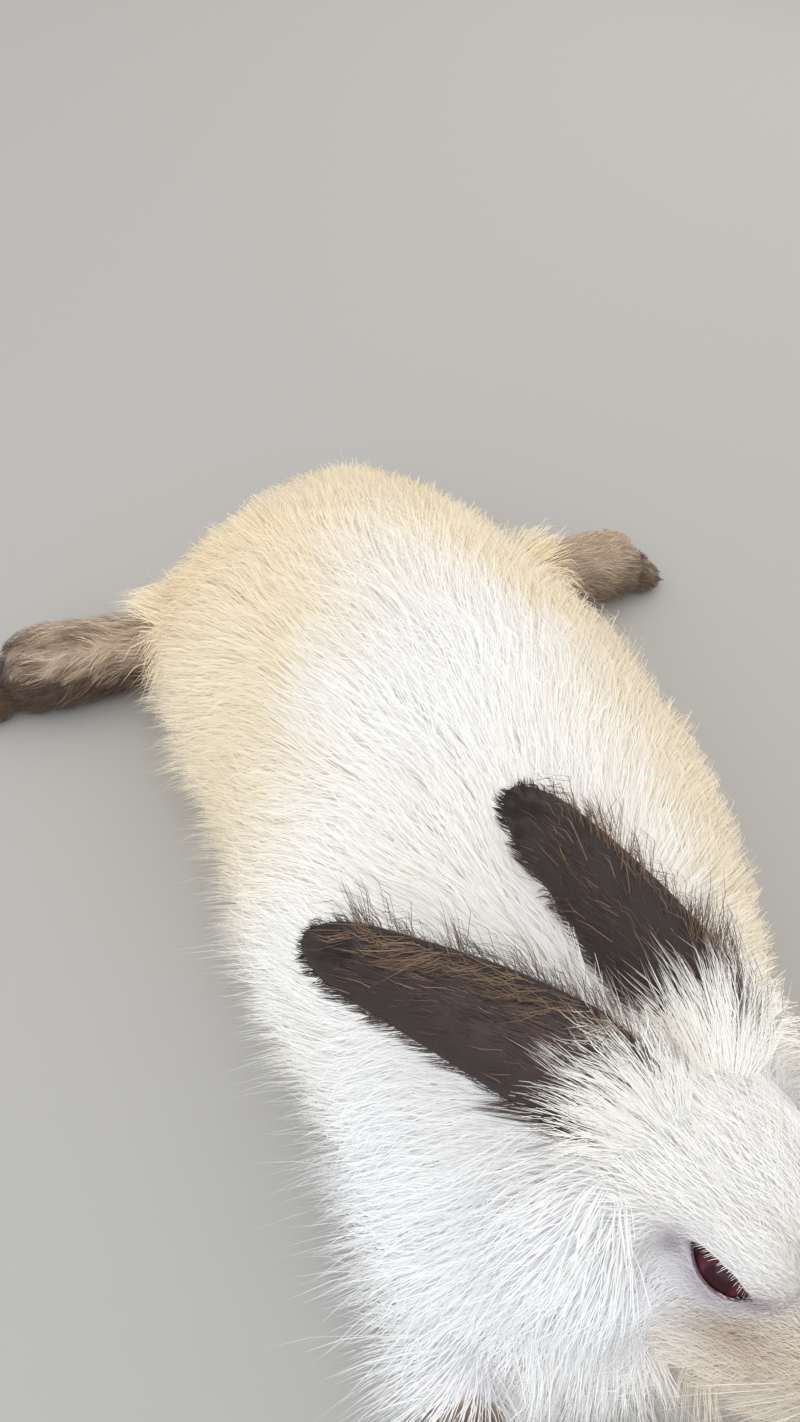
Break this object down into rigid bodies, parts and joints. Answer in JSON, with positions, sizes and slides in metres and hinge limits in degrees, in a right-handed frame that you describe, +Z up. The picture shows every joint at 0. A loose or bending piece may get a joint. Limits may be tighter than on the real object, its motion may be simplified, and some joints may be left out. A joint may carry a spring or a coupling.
{
  "type": "angora rabbit model",
  "caption": "Life-size still model of a long-coated angora rabbit stretched out flat on its belly, hind legs splayed, head turned, ears laid back.",
  "frame": {"origin": "on the floor under the middle of the belly, on the body's centre line", "axes": "-Y the way the body faces, +Y to the tail, +X the rabbit's left, +Z up"},
  "size_m": [0.3416, 0.4752, 0.13],
  "materials": {
    "coat": "long soft white to cream wool, matt",
    "point_fur": "short dark brown-grey fur with long hairs, matt",
    "foot_fur": "short dense grey-brown fur, matt",
    "eye": "wet, glossy dark red"
  },
  "bodies": {
    "root": {"eye_right": "eye", "eye_left": "eye", "ear_right": "point_fur", "ear_left": "point_fur", "head": "coat", "forepaw_right": "foot_fur", "forepaw_left": "foot_fur", "foreleg_right": "coat", "foreleg_left": "coat", "hindfoot_right": "foot_fur", "hindfoot_left": "foot_fur", "neck": "coat", "torso": "coat", "hindleg_right": "coat", "hindleg_left": "coat", "tail": "point_fur", "rump": "coat"}
  },
  "joints": []
}
